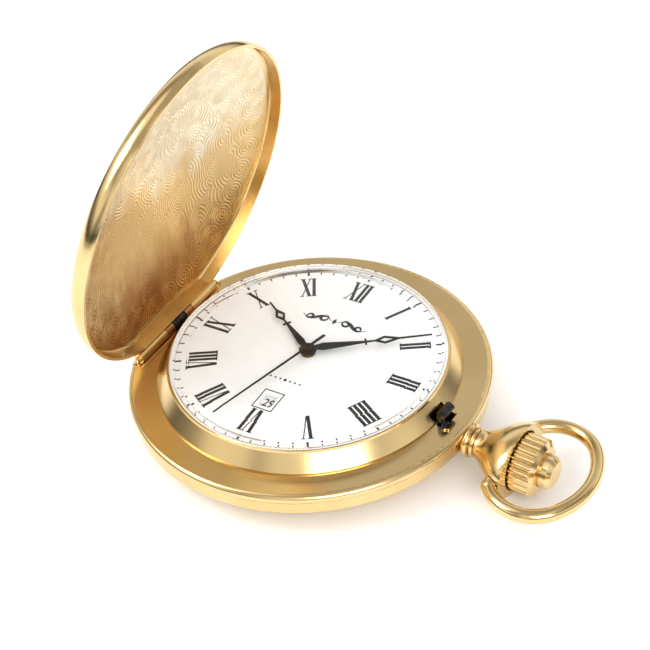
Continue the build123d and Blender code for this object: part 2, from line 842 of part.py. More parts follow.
# gear places: hour train beside the centre, minute train on the other side, motor beyond it
post_distance = module_motion * (10 + 30) / 2
minute_wheel_at = polar(post_distance, 215)
third_distance = module_train * (60 + 8) / 2
third_at = polar(third_distance, 60)
module_second = 2 * third_distance / (64 + 8)
module_motor = 0.08
middle_distance = module_motor * (60 + 10) / 2
middle_at = polar(middle_distance, 160)
rotor_offset = polar(module_motor * (50 + 10) / 2, 150)
rotor_at = (middle_at[0] + rotor_offset[0], middle_at[1] + rotor_offset[1])

with BuildPart() as main_plate:
    rod(movement_r, plate_low, plate_top, "z")
    rod(movement_r, plate_top, movement_z, "z")
    rod(date_ring_out + gap, plate_top, movement_z + 1, "z", mode=Mode.SUBTRACT)
    rod(cannon_r + running, 0, dial_z, "z", mode=Mode.SUBTRACT)
    rod(0.18, plate_top, plate_top + 0.42, "z", minute_wheel_at)
    rod(0.15 + running, plate_low - 1, plate_low + 0.5, "z", third_at, mode=Mode.SUBTRACT)
    rod(stem_r + 0.15, stem_in - 0.5, movement_r + 1, "x", frame=stem_at, mode=Mode.SUBTRACT)
save(main_plate.part, "main_plate")

level_a = plate_top + 0.03
level_b = plate_top + 0.24
with BuildPart() as minute_wheel:
    gear(30, module_motion, level_a, level_a + 0.17, minute_wheel_at, gap_phase(215, 30))
    gear(8, module_motion, level_a, level_b + 0.19, minute_wheel_at, 215 + 180)
    rod(0.18 + running, 0, dial_z, "z", minute_wheel_at, mode=Mode.SUBTRACT)
save(minute_wheel.part, "minute_wheel")

second_tube = cannon_r - 0.15
with BuildPart() as cannon_pinion:
    gear(10, module_motion, level_a, level_a + 0.17, phase=215)
    rod(cannon_r, plate_low - 0.55, dial_z + minute_hand_h + hand_t, "z")
    rod(second_tube, 0, dial_z + 3, "z", mode=Mode.SUBTRACT)
save(cannon_pinion.part, "cannon_pinion")

with BuildPart() as hour_wheel:
    gear(32, module_motion, level_b, level_b + 0.17, phase=215 + 180 / 32)
    rod(hour_tube_r, level_b, dial_z + hour_hand_h + hand_t, "z")
    rod(cannon_r + running, 0, dial_z + 3, "z", mode=Mode.SUBTRACT)
save(hour_wheel.part, "hour_wheel")

train_top = plate_low - 0.1
with BuildPart() as center_wheel:
    gear(60, module_train, train_top - 0.35, train_top - 0.15, phase=60)
    rod(cannon_r, 0, dial_z, "z", mode=Mode.SUBTRACT)
save(center_wheel.part, "center_wheel")

with BuildPart() as third_wheel:
    gear(8, module_train, train_top - 0.4, train_top, third_at, gap_phase(60, 8))
    gear(64, module_second, train_top - 0.75, train_top - 0.58, third_at, 60 + 180)
    rod(0.15, train_top - 1.6, train_top + 0.4, "z", third_at)
save(third_wheel.part, "third_wheel")

with BuildPart() as second_wheel:
    gear(8, module_second, train_top - 0.8, train_top - 0.5, phase=60 + 180 / 8)
    gear(60, module_motor, train_top - 1.15, train_top - 0.98, phase=160)
    rod(arbor_r, train_top - 1.6, dial_z + second_hand_h + 0.12, "z")
save(second_wheel.part, "second_wheel")

with BuildPart() as intermediate_wheel:
    gear(10, module_motor, train_top - 1.2, train_top - 0.9, middle_at, gap_phase(160, 10))
    gear(50, module_motor, train_top - 1.42, train_top - 1.27, middle_at, 150)
    rod(0.12, train_top - 1.6, train_top - 0.55, "z", middle_at)
save(intermediate_wheel.part, "intermediate_wheel")

with BuildPart() as rotor:
    gear(10, module_motor, train_top - 1.45, train_top - 1.2, rotor_at, gap_phase(150, 10))
    rod(0.75, train_top - 1.0, train_top - 0.3, "z", rotor_at)
    rod(0.12, train_top - 1.6, train_top - 0.2, "z", rotor_at)
save(rotor.part, "rotor")

bridge_top = train_top - 1.6
bridge_screw_places = ((-7.0, 0.6), (0.6, 7.0), (3.7, 6.6))
with BuildPart() as train_bridge:
    with BuildSketch(Plane.XY.offset(bridge_top - 0.4)):
        with BuildLine():
            Polyline((-8.0, -0.4), (-8.0, 5.5), (-3.5, 8.0), (4.2, 7.6), (4.6, 1.2), (1.5, -0.8), close=True)
        make_face()
        fillet(vertices(), radius=0.5)
        with Locations(*bridge_screw_places):
            Circle(0.3, mode=Mode.SUBTRACT)
    extrude(amount=0.4)
save(train_bridge.part, "train_bridge")

with BuildPart() as bridge_screws:
    for place in bridge_screw_places:
        rod(0.3, bridge_top - 0.4, plate_low, "z", place)
        rod(0.6, bridge_top - 0.7, bridge_top - 0.4, "z", place)
save(bridge_screws.part, "bridge_screws")

with BuildPart() as stator:
    with BuildSketch(Plane.XY.offset(train_top - 0.85)):
        with Locations(rotor_at):
            Rectangle(6.4, 2.4)
            Circle(0.95, mode=Mode.SUBTRACT)
    extrude(amount=0.35)
save(stator.part, "stator")

coil_y = rotor_at[1] + 4.2
with BuildPart() as coil:
    rod(0.65, rotor_at[0] - 1.9, rotor_at[0] + 4.4, "x", (coil_y, train_top - 0.9))
save(coil.part, "coil")

battery_at = (-4.4, -6.4)
battery_low = movement_low + 0.25
with BuildPart() as battery:
    rod(battery_r, battery_low, battery_low + battery_t - 0.4, "z", battery_at)
    rod(battery_r - 0.5, battery_low + battery_t - 0.4, battery_low + battery_t, "z", battery_at)
save(battery.part, "battery")

with BuildPart() as battery_clamp:
    bar(
        (battery_at[0] - 1.0, -11.4, movement_low),
        (battery_at[0] + 1.0, -1.3, movement_low + 0.25),
    )
save(battery_clamp.part, "battery_clamp")

board_low = bridge_top - 0.2
with BuildPart() as circuit_board:
    with BuildSketch(Plane.XY.offset(board_low)):
        with BuildLine():
            Polyline((1.2, -11.2), (1.2, -3.0), (6.6, -3.0), (9.6, -5.4), (7.4, -9.0), (4.4, -11.0), close=True)
        make_face()
    extrude(amount=0.25)
save(circuit_board.part, "circuit_board")

with BuildPart() as chip:
    bar((2.2, -6.2, board_low + 0.25), (4.6, -3.8, board_low + 0.95))
save(chip.part, "chip")

with BuildPart() as quartz_can:
    rod(0.75, -9.9, -7.0, "y", (5.6, board_low + 1.02))
save(quartz_can.part, "quartz_can")

with BuildPart() as setting_lever:
    lever_z = stem_z + stem_r + 0.08
    bar((stem_groove + 0.1, -0.9, lever_z), (stem_groove + 0.5, 2.2, lever_z + 0.2), turned)
    bar(
        (stem_groove + 0.08, stem_r - 0.18, stem_z - 0.3),
        (stem_groove + 0.52, stem_r + 0.35, lever_z),
        turned,
    )
save(setting_lever.part, "setting_lever")
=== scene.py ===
import math

import bmesh
import bpy
import numpy as np
from mathutils import Matrix, Vector


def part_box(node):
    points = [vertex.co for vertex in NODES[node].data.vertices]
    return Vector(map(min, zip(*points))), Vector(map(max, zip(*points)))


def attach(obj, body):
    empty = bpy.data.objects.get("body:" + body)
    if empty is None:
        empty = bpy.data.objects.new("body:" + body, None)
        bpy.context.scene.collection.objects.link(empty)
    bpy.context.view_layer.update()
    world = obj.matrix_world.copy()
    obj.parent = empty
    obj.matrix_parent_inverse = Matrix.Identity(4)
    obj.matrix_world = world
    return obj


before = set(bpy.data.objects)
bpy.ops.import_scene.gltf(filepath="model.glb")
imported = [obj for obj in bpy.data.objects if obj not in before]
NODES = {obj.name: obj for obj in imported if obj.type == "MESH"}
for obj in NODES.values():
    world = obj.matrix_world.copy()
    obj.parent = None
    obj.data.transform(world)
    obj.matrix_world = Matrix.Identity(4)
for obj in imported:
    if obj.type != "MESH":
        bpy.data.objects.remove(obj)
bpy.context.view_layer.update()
MM = 0.001
rng = np.random.default_rng(7)

# ---------------------------------------------------------------- places, mm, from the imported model
DIAL_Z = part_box("dial")[1].z / MM
DATE_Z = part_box("date_ring")[1].z / MM
LID_OPEN = math.radians(74.5)
HINGE = Vector((-21.22, 0, 6.8))
WINDOW_AT = -10.1
SHOWN_DAY, DAYS = 29, 31
HINGE_SEAT_X = (-19.9, -20.5)
HINGE_SEAT_Y = (9.6, 8.6)
HINGE_SEAT_RED = (0.52, 0.26, 0.12)
GLASS_INDEX = 1.24
LID_FOOT_Z, LID_HEAD_Z = 9, 46
RAGGED = 0.24
LAMP_AIM = (0, 0, 0.01)


# ---------------------------------------------------------------- materials
def material(name):
    made = bpy.data.materials.new(name)
    made.use_nodes = True
    return made, made.node_tree, made.node_tree.nodes["Principled BSDF"]


def noise(tree, size_mm, detail=3.0, stretch=(1, 1, 1)):
    """Noise whose features are about size_mm across, in the frame's own coordinates."""
    place = tree.nodes.new("ShaderNodeTexCoord")
    scale = tree.nodes.new("ShaderNodeMapping")
    scale.inputs["Scale"].default_value = [1 / (size_mm * MM * s) for s in stretch]
    tree.links.new(place.outputs["Object"], scale.inputs["Vector"])
    tex = tree.nodes.new("ShaderNodeTexNoise")
    tex.inputs["Scale"].default_value = 1.0
    tex.inputs["Detail"].default_value = detail
    tex.inputs["Roughness"].default_value = 0.5
    tree.links.new(scale.outputs["Vector"], tex.inputs["Vector"])
    return tex.outputs["Fac"]


def ramp(tree, fac, low, high, at=(0.3, 0.7)):
    node = tree.nodes.new("ShaderNodeValToRGB")
    ends = node.color_ramp.elements
    ends[0].position, ends[1].position = at
    ends[0].color = (*low, 1)
    ends[1].color = (*high, 1)
    tree.links.new(fac, node.inputs["Fac"])
    return node.outputs["Color"]


def spread(tree, fac, low, high):
    node = tree.nodes.new("ShaderNodeMapRange")
    node.inputs["From Min"].default_value = 0.25
    node.inputs["From Max"].default_value = 0.75
    node.inputs["To Min"].default_value = low
    node.inputs["To Max"].default_value = high
    tree.links.new(fac, node.inputs["Value"])
    return node.outputs["Result"]


def bump(tree, shader, height, depth_mm, strength=1.0, round_mm=0):
    node = tree.nodes.new("ShaderNodeBump")
    node.inputs["Distance"].default_value = depth_mm * MM
    node.inputs["Strength"].default_value = strength
    tree.links.new(height, node.inputs["Height"])
    if round_mm:
        edge = tree.nodes.new("ShaderNodeBevel")
        edge.samples = 4
        edge.inputs["Radius"].default_value = round_mm * MM
        tree.links.new(edge.outputs["Normal"], node.inputs["Normal"])
    tree.links.new(node.outputs["Normal"], shader.inputs["Normal"])


def metal(name, low, high, rough, patch=5.0, grain=0.25, depth=0.004, stretch=(1, 1, 1), round_mm=0):
    made, tree, shader = material(name)
    shader.inputs["Metallic"].default_value = 1.0
    tree.links.new(ramp(tree, noise(tree, patch), low, high), shader.inputs["Base Color"])
    tree.links.new(spread(tree, noise(tree, patch * 0.35, 4), *rough), shader.inputs["Roughness"])
    bump(tree, shader, noise(tree, grain, 4, stretch), depth, 0.6, round_mm)
    return made


def engraved_gold():
    """Brushed gold with painted light: a pale painted reflection at the top of the open lid and a dark
    red-brown painted reflection at its foot, in ragged patches.
    """
    made, tree, shader = material("gold_engraved_painted_light")
    shader.inputs["Metallic"].default_value = 1.0
    place = tree.nodes.new("ShaderNodeTexCoord")
    split = tree.nodes.new("ShaderNodeSeparateXYZ")
    tree.links.new(place.outputs["Object"], split.inputs["Vector"])
    # painted reflection: base colour runs from dark red-brown at the lid's foot to pale at its top, standing
    # in for light and shade
    rise = tree.nodes.new("ShaderNodeMapRange")
    rise.inputs["From Min"].default_value = LID_FOOT_Z * MM
    rise.inputs["From Max"].default_value = LID_HEAD_Z * MM
    tree.links.new(split.outputs["Z"], rise.inputs["Value"])
    ragged = tree.nodes.new("ShaderNodeMapRange")
    ragged.inputs["To Min"].default_value = -RAGGED
    ragged.inputs["To Max"].default_value = RAGGED
    tree.links.new(noise(tree, 6.0, 3, (1, 0.5, 1.6)), ragged.inputs["Value"])
    total = tree.nodes.new("ShaderNodeMath")
    tree.links.new(rise.outputs["Result"], total.inputs[0])
    tree.links.new(ragged.outputs["Result"], total.inputs[1])
    painted_reflection_tint = tree.nodes.new("ShaderNodeValToRGB")
    stops = [(0.0, (0.50, 0.25, 0.11)), (0.14, (0.66, 0.40, 0.18)), (0.3, (0.84, 0.61, 0.30)),
             (0.50, (0.84, 0.63, 0.34)), (0.60, (0.90, 0.80, 0.60)), (1.0, (0.86, 0.75, 0.54))]
    for _ in stops[2:]:
        painted_reflection_tint.color_ramp.elements.new(0.5)
    for element, (at, color) in zip(painted_reflection_tint.color_ramp.elements, stops):
        element.position = at
        element.color = (*color, 1)
    tree.links.new(total.outputs["Value"], painted_reflection_tint.inputs["Fac"])
    tree.links.new(painted_reflection_tint.outputs["Color"], shader.inputs["Base Color"])
    tree.links.new(spread(tree, noise(tree, 2.0, 3), 0.26, 0.34), shader.inputs["Roughness"])
    bump(tree, shader, noise(tree, 0.3, 2, (1, 1, 3)), 0.003, 0.4)
    return made


def solid(name, low, high, rough, patch=1.0, grain=0.15, depth=0.003, coat=0.0, metallic=0.0):
    made, tree, shader = material(name)
    shader.inputs["Metallic"].default_value = metallic
    shader.inputs["Coat Weight"].default_value = coat
    shader.inputs["Coat Roughness"].default_value = 0.08
    tree.links.new(ramp(tree, noise(tree, patch), low, high), shader.inputs["Base Color"])
    tree.links.new(spread(tree, noise(tree, patch * 0.5, 4), *rough), shader.inputs["Roughness"])
    bump(tree, shader, noise(tree, grain, 3), depth, 0.5)
    return made


def glass(name):
    """Clear glass that lets lamps and the dial's own light through, with an index below real glass so that
    the numerals stay whole where they show through the bevel."""
    made, tree, shader = material(name)
    shader.inputs["Base Color"].default_value = (1, 1, 1, 1)
    shader.inputs["Roughness"].default_value = 0.0
    shader.inputs["IOR"].default_value = GLASS_INDEX
    shader.inputs["Transmission Weight"].default_value = 1.0
    path = tree.nodes.new("ShaderNodeLightPath")
    clear = tree.nodes.new("ShaderNodeBsdfTransparent")
    mix = tree.nodes.new("ShaderNodeMixShader")
    either = tree.nodes.new("ShaderNodeMath")
    either.operation = "MAXIMUM"
    tree.links.new(path.outputs["Is Shadow Ray"], either.inputs[0])
    tree.links.new(path.outputs["Is Diffuse Ray"], either.inputs[1])
    tree.links.new(either.outputs["Value"], mix.inputs["Fac"])
    tree.links.new(shader.outputs["BSDF"], mix.inputs[1])
    tree.links.new(clear.outputs["BSDF"], mix.inputs[2])
    tree.links.new(mix.outputs["Shader"], tree.nodes["Material Output"].inputs["Surface"])
    return made


def redden_hinge_seat(made):
    """Turn gold to a redder alloy where the lid's hinge is soldered to the case."""
    tree = made.node_tree
    shader = tree.nodes["Principled BSDF"]
    plain = shader.inputs["Base Color"].links[0].from_socket
    place = tree.nodes.new("ShaderNodeTexCoord")
    split = tree.nodes.new("ShaderNodeSeparateXYZ")
    tree.links.new(place.outputs["Object"], split.inputs["Vector"])
    apart = tree.nodes.new("ShaderNodeMath")
    apart.operation = "ABSOLUTE"
    tree.links.new(split.outputs["Y"], apart.inputs[0])
    masks = []
    edges = ((split.outputs["X"], *HINGE_SEAT_X), (apart.outputs["Value"], *HINGE_SEAT_Y))
    for socket, none_at, full_at in edges:
        mask = tree.nodes.new("ShaderNodeMapRange")
        mask.inputs["From Min"].default_value = none_at * MM
        mask.inputs["From Max"].default_value = full_at * MM
        tree.links.new(socket, mask.inputs["Value"])
        masks.append(mask.outputs["Result"])
    near = tree.nodes.new("ShaderNodeMath")
    near.operation = "MULTIPLY"
    tree.links.new(masks[0], near.inputs[0])
    tree.links.new(masks[1], near.inputs[1])
    both = tree.nodes.new("ShaderNodeMix")
    both.data_type = "RGBA"
    both.inputs["B"].default_value = (*HINGE_SEAT_RED, 1)
    tree.links.new(near.outputs["Value"], both.inputs["Factor"])
    tree.links.new(plain, both.inputs["A"])
    tree.links.new(both.outputs["Result"], shader.inputs["Base Color"])


GOLD_LOW = (0.78, 0.555, 0.25)
GOLD_HIGH = (0.85, 0.635, 0.32)
gold = metal("gold_polished", GOLD_LOW, GOLD_HIGH, (0.13, 0.2), depth=0.0015, round_mm=0.06)
gold_satin = metal("gold_satin", GOLD_LOW, GOLD_HIGH, (0.17, 0.22), patch=12.0, grain=0.6, depth=0.0008,
                   round_mm=0.06)
redden_hinge_seat(gold_satin)
gold_engraved_painted_light = engraved_gold()
steel = metal("steel", (0.42, 0.42, 0.43), (0.62, 0.62, 0.63), (0.18, 0.3), patch=1.5, grain=0.1)
dark_steel = metal("dark_steel", (0.03, 0.03, 0.032), (0.09, 0.085, 0.08), (0.2, 0.35), patch=0.8,
                   grain=0.12, round_mm=0.05)
brass = metal("brass", (0.62, 0.42, 0.16), (0.75, 0.53, 0.22), (0.2, 0.3), patch=1.5, grain=0.1)
copper_wire = metal("copper_wire", (0.55, 0.2, 0.08), (0.75, 0.32, 0.14), (0.25, 0.4), 0.5, 0.06,
                    0.01, (12, 1, 1))
battery_steel = metal("battery_steel", (0.6, 0.6, 0.6), (0.72, 0.72, 0.71), (0.22, 0.35), 2.0, 0.1)
rubber = solid("rubber", (0.02, 0.02, 0.022), (0.05, 0.05, 0.05), (0.5, 0.7), 0.8)
clear_seal = solid("seal_white", (0.78, 0.78, 0.76), (0.86, 0.86, 0.84), (0.3, 0.45), 1.0)
nylon = solid("nylon_white", (0.66, 0.66, 0.63), (0.78, 0.78, 0.75), (0.4, 0.55), 1.5)
board = solid("board_green", (0.01, 0.10, 0.05), (0.02, 0.16, 0.08), (0.3, 0.45), 0.6)
chip_black = solid("chip_black", (0.012, 0.012, 0.013), (0.03, 0.03, 0.032), (0.35, 0.5), 0.4)
enamel = solid("dial_white", (0.86, 0.86, 0.87), (0.90, 0.90, 0.90), (0.32, 0.42), 3.0, 0.1, 0.002, coat=0.3)
paper = solid("date_white", (0.76, 0.76, 0.76), (0.82, 0.82, 0.81), (0.45, 0.6), 1.0, 0.08)
ink = solid("ink_black", (0.006, 0.006, 0.007), (0.014, 0.014, 0.016), (0.3, 0.45), 0.4, 0.05, 0.002)
gloss_black = solid("gloss_black", (0.004, 0.004, 0.005), (0.010, 0.010, 0.012), (0.34, 0.44), 0.5, 0.1,
                    0.002)
gloss_black.node_tree.nodes["Principled BSDF"].inputs["Specular IOR Level"].default_value = 0.22
crystal_glass = glass("crystal_glass")

FINISH = {
    gold: ["case_back", "lid", "lid_hinge_tubes", "bow", "crown", "pendant_tube", "hinge_pin"],
    gold_satin: ["case_middle", "bezel", "pendant", "push_button", "latch_screw"],
    dark_steel: ["latch", "lift_spring_block", "lid_catch"],
    steel: ["latch_spring", "lift_spring", "stem", "setting_lever", "sliding_pinion",
            "cannon_pinion", "push_sleeve", "button_spring", "crown_pin", "bridge_screws",
            "battery_clamp", "stator", "rotor", "quartz_can"],
    brass: ["main_plate", "train_bridge", "center_wheel", "third_wheel", "second_wheel",
            "intermediate_wheel", "minute_wheel", "hour_wheel"],
    battery_steel: ["battery"],
    copper_wire: ["coil"],
    board: ["circuit_board"],
    chip_black: ["chip"],
    rubber: ["back_gasket"],
    clear_seal: ["crystal_gasket"],
    nylon: ["movement_holder"],
    enamel: ["dial"],
    paper: ["date_ring"],
    ink: ["date_frame"],
    gloss_black: ["hour_hand", "minute_hand", "second_hand"],
    crystal_glass: ["crystal"],
}
for finish, names in FINISH.items():
    for name in names:
        mesh = NODES[name].data
        mesh.materials.clear()
        mesh.materials.append(finish)
assert sorted(sum(FINISH.values(), [])) == sorted(NODES), set(NODES) ^ set(sum(FINISH.values(), []))


# ---------------------------------------------------------------- making pieces
def piece(name, mesh, finish, body, smooth=False):
    mesh.materials.clear()
    mesh.materials.append(finish)
    if smooth:
        mesh.shade_smooth()
    made = bpy.data.objects.new(name, mesh)
    bpy.context.scene.collection.objects.link(made)
    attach(made, body)
    return made


def from_points(name, points, faces):
    """Mesh from points in mm."""
    mesh = bpy.data.meshes.new(name)
    mesh.from_pydata([tuple(c * MM for c in p) for p in points], [], [tuple(f) for f in faces])
    mesh.update()
    return mesh


def prisms(name, outlines, low, high):
    """Flat pieces of print: each outline in mm is a prism from low to high."""
    points, faces = [], []
    for outline in outlines:
        area = sum(a[0] * b[1] - b[0] * a[1] for a, b in zip(outline, outline[1:] + outline[:1]))
        ring = outline if area > 0 else outline[::-1]
        first, count = len(points), len(ring)
        points += [(x, y, low) for x, y in ring] + [(x, y, high) for x, y in ring]
        faces.append([first + count + i for i in range(count)])
        faces.append([first + count - 1 - i for i in range(count)])
        for i in range(count):
            j = (i + 1) % count
            faces.append([first + i, first + j, first + count + j, first + count + i])
    return from_points(name, points, faces)


def clock(angle, r, across=0.0):
    """Point on the dial: angle clockwise from 12, r outwards, across to the right of that line."""
    a = math.radians(angle)
    return (r * math.sin(a) + across * math.cos(a), r * math.cos(a) - across * math.sin(a))


# ---------------------------------------------------------------- dial print
PRINT = (DIAL_Z + 0.004, DIAL_Z + 0.022)
NUMERALS = ["XII", "I", "II", "III", "IIII", "V", "VI", "VII", "VIII", "IX", "X", "XI"]
FOOT, HEAD = 11.95, 15.9
THICK, THIN, SERIF = 0.225, 0.07, 0.07
ADVANCE = {"I": 0.66, "V": 1.42, "X": 1.52}


def stroke(bottom, top, half):
    return [(bottom - half, 0), (bottom + half, 0), (top + half, 1), (top - half, 1)]


def numeral(text):
    """Strokes of a numeral as quads: (across in mm, share of the height)."""
    quads, at = [], -sum(ADVANCE[c] for c in text) / 2
    for c in text:
        w = ADVANCE[c]
        mid = at + w / 2
        if c == "I":
            quads += [stroke(mid, mid, THICK)]
            feet, heads = [(mid, 0.34)], [(mid, 0.34)]
        elif c == "V":
            quads += [stroke(mid + 0.02, at + 0.3, THICK), stroke(mid + 0.2, at + w - 0.18, THIN)]
            feet, heads = [], [(at + 0.3, 0.4), (at + w - 0.18, 0.26)]
        else:
            quads += [stroke(at + w - 0.3, at + 0.3, THICK), stroke(at + 0.2, at + w - 0.2, THIN)]
            feet, heads = [(at + w - 0.3, 0.38), (at + 0.2, 0.26)], [(at + 0.3, 0.38), (at + w - 0.2, 0.26)]
        rise = 2 * SERIF / (HEAD - FOOT)
        quads += [[(u - h, 0), (u + h, 0), (u + h, rise), (u - h, rise)] for u, h in feet]
        quads += [[(u - h, 1 - rise), (u + h, 1 - rise), (u + h, 1), (u - h, 1)] for u, h in heads]
        at += w
    return quads


marks = []
for hour, text in enumerate(NUMERALS):
    for quad in numeral(text):
        marks.append([clock(30 * hour, FOOT + v * (HEAD - FOOT), u) for u, v in quad])
piece("hour_numerals", prisms("hour_numerals", marks, *PRINT), ink, "case")

# half width, inner and outer radius of the mark at each five minutes and of the others
FIVE_MARK, MINUTE_MARK = (0.15, 16.55, 17.6), (0.09, 16.75, 17.5)
ticks = []
for minute in range(60):
    half, inner, outer = FIVE_MARK if minute % 5 == 0 else MINUTE_MARK
    ticks.append([clock(6 * minute, r, u) for r, u in
                  ((inner, -half), (inner, half), (outer, half), (outer, -half))])
piece("minute_ticks", prisms("minute_ticks", ticks, *PRINT), ink, "case")


def brush(line, widths):
    """Outline of a pen stroke along a line of points with the width at each."""
    left, right = [], []
    for i, (x, y) in enumerate(line):
        x0, y0 = line[max(i - 1, 0)]
        x1, y1 = line[min(i + 1, len(line) - 1)]
        length = math.hypot(x1 - x0, y1 - y0)
        nx, ny = -(y1 - y0) / length, (x1 - x0) / length
        left.append((x + nx * widths[i] / 2, y + ny * widths[i] / 2))
        right.append((x - nx * widths[i] / 2, y - ny * widths[i] / 2))
    return left + right[::-1]


def scroll(at, size, turns, start, sign, heavy):
    """Open spiral that swells in the middle of its length."""
    line, widths = [], []
    for i in range(41):
        t = i / 40
        angle = start + sign * turns * 2 * math.pi * t
        r = size * (1 - 0.8 * t)
        line.append((at[0] + r * math.cos(angle), at[1] + r * math.sin(angle)))
        widths.append(0.06 + heavy * math.sin(math.pi * t) ** 1.5)
    return brush(line, widths)


# a plain symmetrical flourish under XII, and a row of small diamonds above the date
flourish = []
for side in (-1, 1):
    swell = [0.08 + 0.46 * math.sin(math.pi * i / 30) ** 2 for i in range(31)]
    wave = [(side * (0.5 + 4.3 * i / 30), 7.0 + 0.55 * math.sin(2 * math.pi * i / 30)) for i in range(31)]
    flourish.append(brush(wave, swell))
    flourish.append(scroll((side * 1.75, 7.15), 0.75, 1.1, math.pi / 2, side, 0.34))
    flourish.append(scroll((side * 3.55, 6.85), 0.62, 1.1, -math.pi / 2, side, 0.3))
flourish.append([(-0.32, 7.0), (0, 6.4), (0.32, 7.0), (0, 7.6)])
piece("dial_flourish", prisms("dial_flourish", flourish, *PRINT), ink, "case")
BEAD_STEP, BEAD_Y = 0.72, -5.85
beads = []
for k in range(-3, 4):
    w, h = (0.26, 0.3) if k == 0 else (0.17, 0.2)
    x = BEAD_STEP * k
    beads.append([(x - w, BEAD_Y), (x, BEAD_Y - h), (x + w, BEAD_Y), (x, BEAD_Y + h)])
piece("dial_beads", prisms("dial_beads", beads, *PRINT), ink, "case")

# numbers on the date ring
numbers = bmesh.new()
for day in range(1, DAYS + 1):
    text = bpy.data.curves.new("day", "FONT")
    text.body = str(day)
    text.size = 1.95 * MM
    text.offset = 0.025 * MM
    text.align_x = "CENTER"
    text.align_y = "CENTER"
    text.extrude = 0.008 * MM
    text.resolution_u = 3
    holder = bpy.data.objects.new("day", text)
    bpy.context.scene.collection.objects.link(holder)
    bpy.context.view_layer.update()
    glyph = bpy.data.meshes.new_from_object(holder.evaluated_get(bpy.context.evaluated_depsgraph_get()))
    turn = Matrix.Rotation(math.radians((day - SHOWN_DAY) * 360 / DAYS), 4, "Z")
    shift = Matrix.Translation((0, WINDOW_AT * MM, (DATE_Z + 0.012) * MM))
    glyph.transform(turn @ shift @ Matrix.Diagonal((0.78, 1.0, 1.0, 1.0)))
    numbers.from_mesh(glyph)
    bpy.data.objects.remove(holder)
    bpy.data.meshes.remove(glyph)
date_mesh = bpy.data.meshes.new("date_numbers")
numbers.to_mesh(date_mesh)
numbers.free()
piece("date_numbers", date_mesh, ink, "date_ring")


# ---------------------------------------------------------------- engraved floor of the lid
FLOOR_EDGE_R, FLOOR_EDGE_Z, FLOOR_DOME = 21.52, 8.45, 4.4
FLOOR_R = (FLOOR_EDGE_R ** 2 + FLOOR_DOME ** 2) / (2 * FLOOR_DOME)
SHEET_R, SHEET_CHORD = 21.42, 19.95
SHEET_OFF_FLOOR, CUT_DEPTH, SHEET_FADE = 0.085, 0.06, 0.02
RINGS, RAYS = 210, 1150
CURL_STEP, CURL_SHIFT, CURLS_WITHIN, CURL_ROWS = 2.3, 0.7, 19, 9
CURL_SHARE, CUT_SHARPNESS, CURL_EDGE = 0.7, 4, 0.45
ROSETTES, ROSETTES_AT, ROSETTE_R, ROSETTE_PITCH = 34, 18.9, 2.15, 0.46


def engraving(x, y):
    """Depth of the cut, 0 to 1, at each point: patches of curved lines laid over one another, with a row of
    spiral rosettes round the edge."""
    depth = np.zeros_like(x)
    curls = []
    for row in range(-CURL_ROWS, CURL_ROWS + 1):
        for col in range(-CURL_ROWS, CURL_ROWS + 1):
            cx = CURL_STEP * col + CURL_STEP / 2 * (row % 2) + rng.uniform(-CURL_SHIFT, CURL_SHIFT)
            cy = CURL_STEP * row + rng.uniform(-CURL_SHIFT, CURL_SHIFT)
            if math.hypot(cx, cy) < CURLS_WITHIN:
                curls.append((cx, cy, rng.uniform(1.2, 2.6), rng.uniform(0.42, 0.75), rng.uniform(0, 6.3),
                              rng.choice((-1, 1)), rng.uniform(1.0, 1.9), rng.uniform(-0.6, 0.6),
                              rng.uniform(0.6, 2.8)))
    order = rng.permutation(len(curls))
    curls = [curls[i] for i in order]
    for k in range(ROSETTES):
        a = 2 * math.pi * (k + 0.5) / ROSETTES
        curls.append((ROSETTES_AT * math.cos(a), ROSETTES_AT * math.sin(a), ROSETTE_R, ROSETTE_PITCH,
                      a, 1 - 2 * (k % 2), 1.0, 0.0, 0.0))
    for cx, cy, size, pitch, spin, hand, squeeze, tilt, off in curls:
        near = np.hypot(x - cx, y - cy)
        dx, dy = x - cx - off * math.cos(spin), y - cy - off * math.sin(spin)
        u = dx * math.cos(tilt) + dy * math.sin(tilt)
        v = (dy * math.cos(tilt) - dx * math.sin(tilt)) * squeeze
        d = np.hypot(u, v)
        inside = near < size
        phase = d[inside] / pitch + hand * (np.arctan2(v[inside], u[inside]) + spin) / (2 * math.pi)
        cut = (1.0 if off == 0 else CURL_SHARE) * (0.5 + 0.5 * np.cos(2 * math.pi * phase)) ** CUT_SHARPNESS
        edge = np.clip((size - near[inside]) / CURL_EDGE, 0, 1)
        depth[inside] = edge * cut + (1 - edge) * depth[inside]
    return depth


angle = np.linspace(0, 2 * math.pi, RAYS, endpoint=False)
reach = np.where(np.cos(angle) < -SHEET_CHORD / SHEET_R,
                 SHEET_CHORD / np.maximum(-np.cos(angle), 1e-6), SHEET_R)
share = np.linspace(0, 1, RINGS + 1)[1:]
gx = np.outer(share, reach * np.cos(angle))
gy = np.outer(share, reach * np.sin(angle))
gr = np.hypot(gx, gy)
floor_z = FLOOR_EDGE_Z + FLOOR_DOME - FLOOR_R + np.sqrt(FLOOR_R ** 2 - gr ** 2)
fade = np.clip((1 - share) / SHEET_FADE, 0, 1)[:, None]
gz = floor_z - SHEET_OFF_FLOOR * fade + CUT_DEPTH * fade * engraving(gx, gy)
crown_z = FLOOR_EDGE_Z + FLOOR_DOME - SHEET_OFF_FLOOR
closed = np.vstack([np.stack([gx.ravel(), gy.ravel(), gz.ravel()], 1), [[0, 0, crown_z]]])
c, s = math.cos(LID_OPEN), math.sin(LID_OPEN)
dx, dz = closed[:, 0] - HINGE.x, closed[:, 2] - HINGE.z
opened = np.stack([HINGE.x + c * dx - s * dz, closed[:, 1], HINGE.z + s * dx + c * dz], 1)
